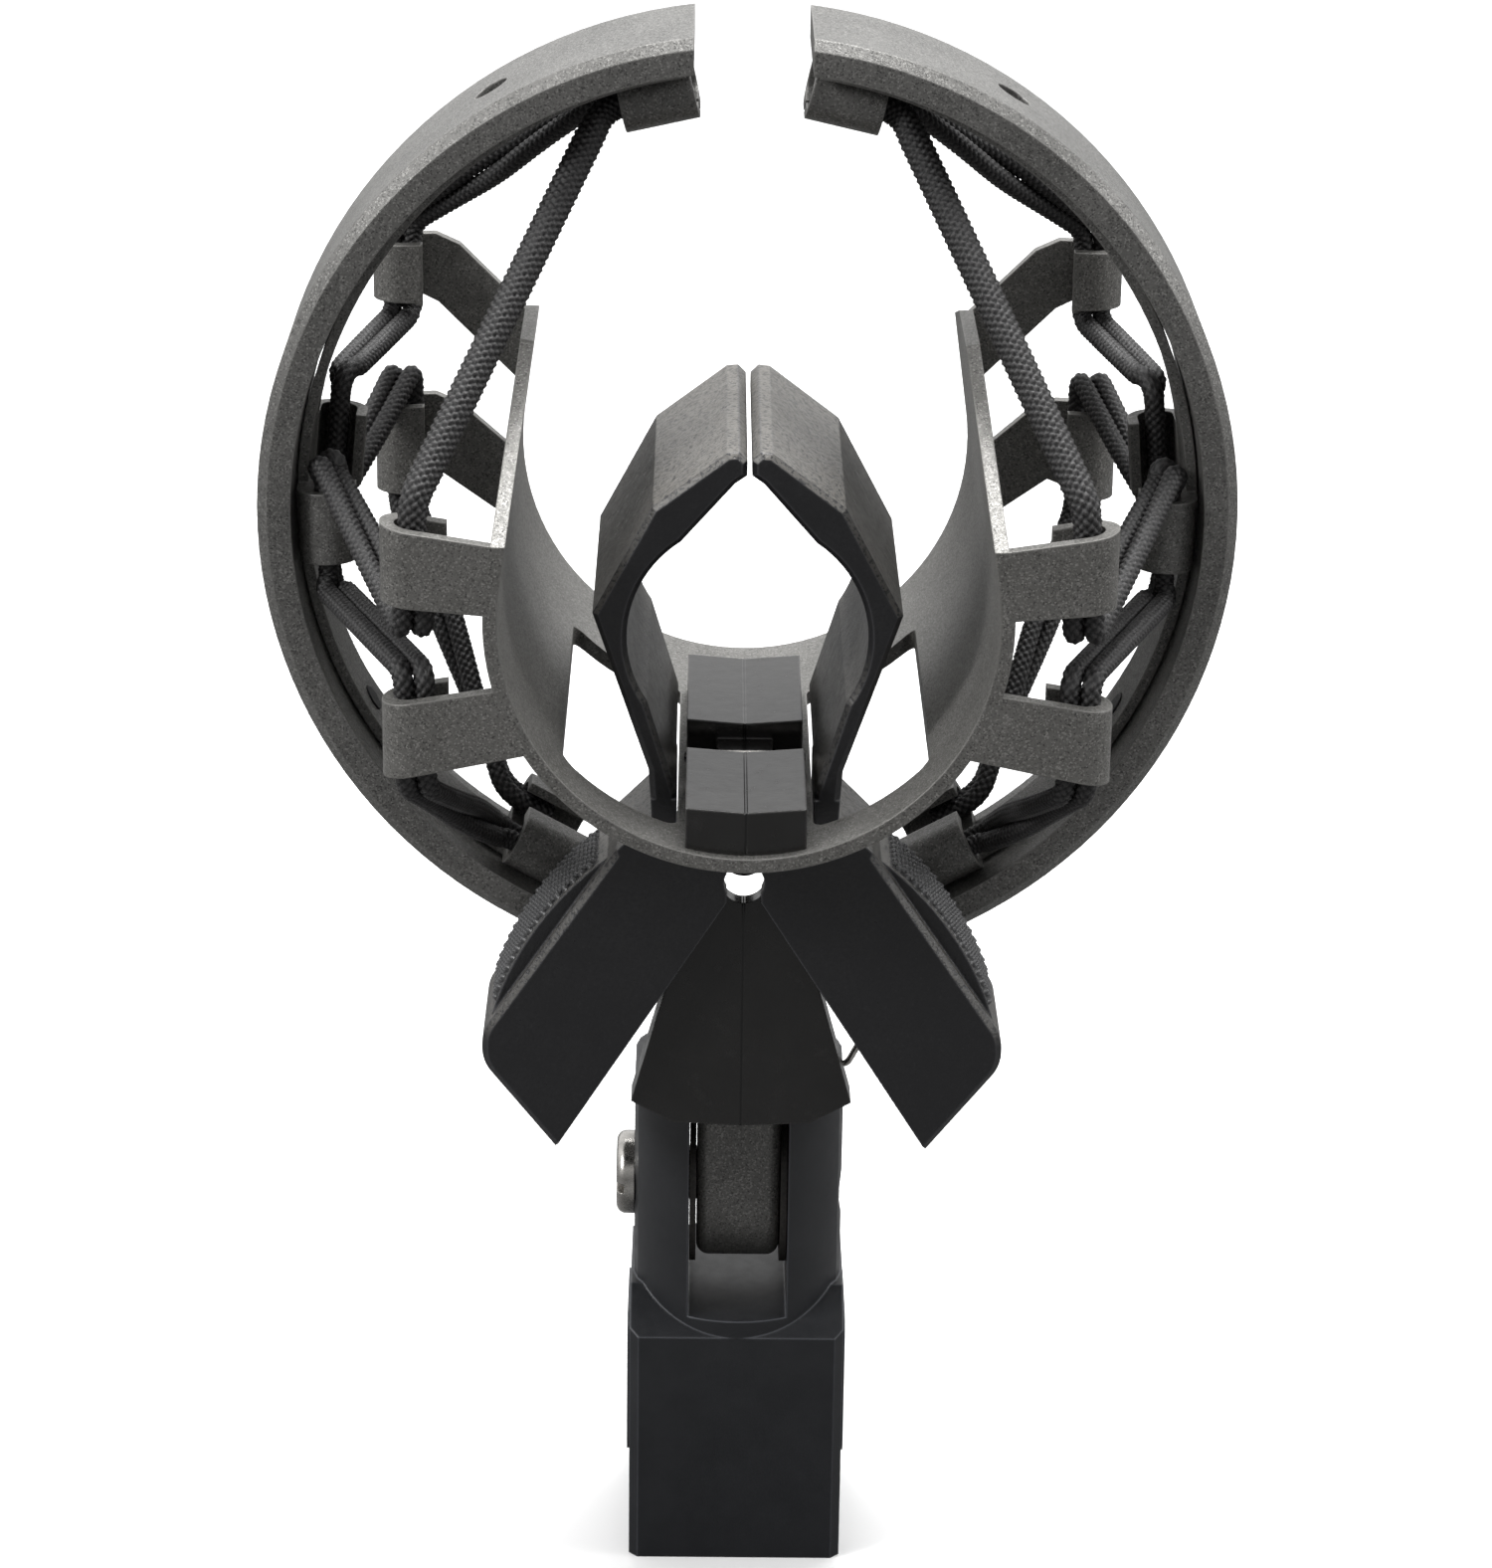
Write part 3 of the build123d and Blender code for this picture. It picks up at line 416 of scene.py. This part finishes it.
def cradle_hook(x, y, low, high):
    """Cord points at a right-hand cradle hook: below it, in its middle and above it."""
    return [Vector((x, y, z)) for z in (low, (low + high) / 2, high)]


def twin_path(path, spread, way):
    """One strand of a doubled cord: beside its twin in y at the ring and in x at the cradle."""
    shifted = []
    for i, here in enumerate(path):
        share = i / (len(path) - 1)
        share = share * share * (3 - 2 * share)
        ahead = (path[min(i + 1, len(path) - 1)] - path[max(i - 1, 0)]).normalized()
        beside = Vector((way * share, 1 - share, 0))
        beside = (beside - ahead * beside.dot(ahead)).normalized()
        shifted.append(here + beside * spread)
    return shifted


def strands(name, side, ring_end, cradle_end, doubled, way):
    """One run of cord from the middle of a ring hook to the middle of a cradle hook."""
    path = rounded_path([ring_end[0], ring_end[1], cradle_end[1], cradle_end[0]], 1.8, 0.15)
    if doubled:
        spread = TWIN_RADIUS * 0.93
        made = [
            braided_piece(f"{name}_{label}", twin_path(path, offset, way), side, TWIN_RADIUS)
            for label, offset in (("one", spread), ("two", -spread))
        ]
    else:
        made = [braided_piece(name, path, side, CORD_RADIUS)]
    for piece in made:
        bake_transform(piece)
    return made


def cord_set(side, side_name, place, hook_y, top_y, middle, clear, way, cradle):
    """The cord of one side and end: runs between three ring hooks and two cradle hooks."""
    x, y, (upper_low, upper_high), (lower_low, lower_high) = cradle
    top = ring_hook(TOP_ANGLE, top_y, 1.5)
    mid = ring_hook(middle, hook_y, clear)
    low = ring_hook(BOTTOM_ANGLE, hook_y, 1.5)
    high_hook = cradle_hook(x, y, upper_low, upper_high)
    low_hook = cradle_hook(x, y, lower_low, lower_high)
    label = f"{side_name}_{place}_braid"
    made = strands(f"{label}_top", side, (top[1], top[0]), (high_hook[1], high_hook[2]), place == "rear", way)
    strands(f"{label}_upper", side, (mid[1], mid[2]), (high_hook[1], high_hook[0]), True, way)
    strands(f"{label}_lower", side, (mid[1], mid[0]), (low_hook[1], low_hook[2]), True, way)
    strands(f"{label}_bottom", side, (low[1], low[2]), (low_hook[1], low_hook[0]), True, way)
    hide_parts(f"{side_name}_{place}_cord")


FRONT_CRADLE = (27.7, -19.2, (-3.7, 7.7), (-17.2, -6.9))
REAR_CRADLE = (31.5, 29.2, (10.8, 19.3), (-7.4, 5.6))
for cord_side, cord_name in ((1, "right"), (-1, "left")):
    cord_set(cord_side, cord_name, "front", 3.1, 7.9, -1.8, 2.6, -1, FRONT_CRADLE)
    cord_set(cord_side, cord_name, "rear", 13.2, 13.2, 5.0, 3.0, 1, REAR_CRADLE)


# ---- knurled finger pads ------------------------------------------------------------------------------
def arc_through(p, q, r):
    """Centre and radius of the circle through three points."""
    (ax, ay), (bx, by), (cx, cy) = p, q, r
    d = 2 * (ax * (by - cy) + bx * (cy - ay) + cx * (ay - by))
    a2, b2, c2 = ax * ax + ay * ay, bx * bx + by * by, cx * cx + cy * cy
    ux = (a2 * (by - cy) + b2 * (cy - ay) + c2 * (ay - by)) / d
    uy = (a2 * (cx - bx) + b2 * (ax - cx) + c2 * (bx - ax)) / d
    return (ux, uy), hypot(ax - ux, ay - uy)


KNURL_PITCH = 1.0
KNURL_HEIGHT = 0.42


def knurled_pad(name, side, body):
    """A thin shell on the finger pad with diamond knurling that fades out at its rim."""
    (cx, cz), radius = arc_through(*GRIP_CREST)
    first = atan2(GRIP_CREST[0][1] - cz, GRIP_CREST[0][0] - cx)
    last = atan2(GRIP_CREST[2][1] - cz, GRIP_CREST[2][0] - cx)
    first, last = first + (last - first) * 0.05, last - (last - first) * 0.05
    length, width = abs(last - first) * radius, GRIP_Y[1] - GRIP_Y[0]
    rows, columns = int(length / 0.115), int(width / 0.115)
    points, faces, heights = [], [], []
    for i in range(rows + 1):
        for j in range(columns + 1):
            u, v = i / rows, j / columns
            along, across = u * length, v * width
            p = ((along + across) / KNURL_PITCH) % 1
            q = ((along - across) / KNURL_PITCH) % 1
            peak = min(1 - abs(2 * p - 1), 1 - abs(2 * q - 1))
            rim = min(1.0, min(along, length - along, across, width - across) / 0.5)
            heights.append(max(1 - rim, min(1, peak * 1.4)))
            lift = -0.12 + (0.16 + KNURL_HEIGHT * min(1, peak * 1.4)) * rim
            angle = first + (last - first) * u
            r = radius + lift
            points.append((cx + r * cos(angle), GRIP_Y[0] + across, cz + r * sin(angle)))
    top = len(points)
    for i in range(rows + 1):
        for j in range(columns + 1):
            angle = first + (last - first) * i / rows
            r = radius - 0.3
            points.append((cx + r * cos(angle), GRIP_Y[0] + j / columns * width, cz + r * sin(angle)))
    wide = columns + 1
    for i in range(rows):
        for j in range(columns):
            a = i * wide + j
            faces.append((a, a + wide, a + wide + 1, a + 1))
            faces.append((top + a, top + a + 1, top + a + wide + 1, top + a + wide))
    rim_loop = [j for j in range(wide)] + [i * wide + columns for i in range(1, rows + 1)]
    rim_loop += [rows * wide + j for j in range(columns - 1, -1, -1)] + [i * wide for i in range(rows - 1, 0, -1)]
    for a, b in zip(rim_loop, rim_loop[1:] + rim_loop[:1]):
        faces.append((a, b, top + b, top + a))
    piece = mesh_piece(name, points, faces, KNURL, side=side)
    keep_crowns(piece, heights + [0.0] * top)
    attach(piece, body)


knurled_pad("right_grip_knurl", 1, "right_half")
knurled_pad("left_grip_knurl", -1, "left_half")

# ---- clip spring -------------------------------------------------------------------------------------------
COIL_TURNS, COIL_FRONT, COIL_BACK = 2.5, -5.35, -4.0
coil_path = []
for coil_step in range(151):
    share = coil_step / 150
    turn_angle = 2 * pi * COIL_TURNS * share
    coil_path.append(Vector((
        SPRING_COIL * cos(turn_angle), COIL_FRONT + (COIL_BACK - COIL_FRONT) * share,
        PIVOT.z - SPRING_COIL * sin(turn_angle),
    )))


def wire(name, path, body):
    piece = mesh_piece(name, *tube(path, 20, lambda distance, angle: SPRING_WIRE), STEEL)
    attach(piece, body)
    return piece


def leg_path(side, y, bends):
    """A leg from the coil through its bends, laid over the post in the handle."""
    reach = 1.42
    corners = [Vector((side * x, y, z)) for x, z in ((SPRING_COIL, PIVOT.z), *bends)]
    for degrees in range(0, 121, 15):
        a = radians(degrees)
        corners.append(Vector((side * (POST[0] - reach * cos(a)), y, POST[1] + reach * sin(a))))
    return rounded_path(corners, 1.3, 0.15)


spring = wire("clip_spring_coil", coil_path, "cradle")
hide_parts("clip_spring")
wire("clip_spring_right_leg", leg_path(1, COIL_FRONT, ((5.0, -40.4), (7.6, -47.6), (9.3, -48.9))), "right_half")
wire("clip_spring_left_leg", leg_path(-1, COIL_BACK, ()), "left_half")


# ---- stand thread ----------------------------------------------------------------------------------------------
def threaded_insert():
    """The brass insert with its helical thread cut into the bore."""
    low, high = ((corner - RING_CENTRE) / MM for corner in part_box("thread_insert"))
    middle = (low + high) / 2
    bottom, top = low.z, high.z
    outer = (high.x - low.x) / 2 - 0.01
    around, rows = 96, int((top - bottom) / (THREAD_PITCH / 8))
    points, faces = [], []
    for i in range(rows + 1):
        z = bottom + (top - bottom) * i / rows
        for k in range(around):
            angle = 2 * pi * k / around
            phase = ((z - bottom) / THREAD_PITCH + k / around) % 1
            cut = max(0.0, 1 - abs(2 * phase - 1) * 1.25)
            lead_in = min(1.0, (z - bottom) / 0.8)
            r = THREAD_MINOR + (THREAD_MAJOR - THREAD_MINOR) * (cut * lead_in + (1 - lead_in))
            points.append((middle.x + r * cos(angle), middle.y + r * sin(angle), z))
    for z in (bottom, top):
        for k in range(around):
            angle = 2 * pi * k / around
            points.append((middle.x + outer * cos(angle), middle.y + outer * sin(angle), z))
    base = (rows + 1) * around
    for i in range(rows):
        for k in range(around):
            a, b = i * around + k, i * around + (k + 1) % around
            faces.append((a, a + around, b + around, b))
    for k in range(around):
        n = (k + 1) % around
        faces.append((base + k, base + n, base + around + n, base + around + k))
        faces.append((k, n, base + n, base + k))
        last = rows * around
        faces.append((last + n, last + k, base + around + k, base + around + n))
    piece = mesh_piece("thread_insert_cut", points, faces, BRASS, smooth=False)
    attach(piece, "stand")
    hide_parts("thread_insert")


threaded_insert()


# ---- floor, light and camera --------------------------------------------------------------------------------------
def studio():
    """Pale floor under the stand socket, a white room that is dimmer in front, and soft lights."""
    floor_z = CAD_BOX[0].z
    mesh = bpy.data.meshes.new("floor")
    reach = 6.0
    mesh.from_pydata(
        [(-reach, -reach, floor_z), (reach, -reach, floor_z), (reach, reach, floor_z), (-reach, reach, floor_z)],
        [], [(0, 1, 2, 3)],
    )
    floor_piece = bpy.data.objects.new("floor", mesh)
    bpy.context.scene.collection.objects.link(floor_piece)
    s = Shader("floor_white")
    tone = s.ramp(s.noise(60.0, 2), ((0.3, 0.93), (0.7, 0.96)))
    seen = s.node("ShaderNodeLightPath").outputs["Is Camera Ray"]
    mesh.materials.append(s.finish(s.mix(seen, (0.12, 0.12, 0.12), tone), Roughness=0.9))

    world = bpy.data.worlds.new("white_room")
    bpy.context.scene.world = world
    world.use_nodes = True
    tree = world.node_tree
    background = tree.nodes["Background"]
    direction = tree.nodes.new("ShaderNodeTexCoord").outputs["Generated"]
    lean = tree.nodes.new("ShaderNodeVectorMath")
    lean.operation = "DOT_PRODUCT"
    lean.inputs[1].default_value = (0.0, 0.7, 0.7)
    tree.links.new(direction, lean.inputs[0])
    behind = tree.nodes.new("ShaderNodeMapRange")
    for socket, value in (("From Min", -0.75), ("From Max", 0.55), ("To Min", 0.10), ("To Max", 1.0)):
        behind.inputs[socket].default_value = value
    tree.links.new(lean.outputs["Value"], behind.inputs["Value"])
    seen_white = tree.nodes.new("ShaderNodeMix")
    seen_white.inputs["B"].default_value = 1.0
    tree.links.new(tree.nodes.new("ShaderNodeLightPath").outputs["Is Camera Ray"], seen_white.inputs["Factor"])
    tree.links.new(behind.outputs["Result"], seen_white.inputs["A"])
    tree.links.new(seen_white.outputs["Result"], background.inputs["Strength"])
    background.inputs["Color"].default_value = (1.0, 1.0, 1.0, 1.0)

    aim = RING_CENTRE + Vector((0, 0.01, -0.02))
    for name, place, size, power in (
        ("top_light", (0.05, 0.20, 0.75), 0.45, 9.0),
        ("left_light", (-0.60, -0.30, 0.40), 0.2, 3.0),
        ("right_light", (0.65, -0.10, 0.30), 0.25, 1.4),
    ):
        lamp = bpy.data.lights.new(name, "AREA")
        lamp.size, lamp.energy = size, power
        holder = bpy.data.objects.new(name, lamp)
        holder.location = RING_CENTRE + Vector(place)
        holder.rotation_mode = "QUATERNION"
        holder.rotation_quaternion = (aim - holder.location).to_track_quat("-Z", "Y")
        bpy.context.scene.collection.objects.link(holder)


def camera():
    """Long lens in front of the ring, looking 21 degrees down."""
    pitch, yaw, roll = radians(20.96), radians(-0.6), radians(0.8)
    turn = Matrix.Rotation(yaw, 3, "Z")
    ahead = turn @ Vector((0, cos(pitch), -sin(pitch)))
    up = turn @ Vector((0, sin(pitch), cos(pitch)))
    right = turn @ Vector((1, 0, 0))
    right, up = cos(roll) * right + sin(roll) * up, cos(roll) * up - sin(roll) * right
    lens = bpy.data.cameras.new("camera")
    lens.sensor_width = 36
    lens.lens = 102.8
    lens.clip_start, lens.clip_end = 0.01, 50
    holder = bpy.data.objects.new("camera", lens)
    bpy.context.scene.collection.objects.link(holder)
    matrix = Matrix((right, up, -ahead)).transposed().to_4x4()
    matrix.translation = RING_CENTRE + Vector((-0.0037, -0.3696, 0.1176))
    holder.matrix_world = matrix
    bpy.context.scene.camera = holder


studio()
camera()
bpy.context.scene.view_settings.view_transform = "Standard"
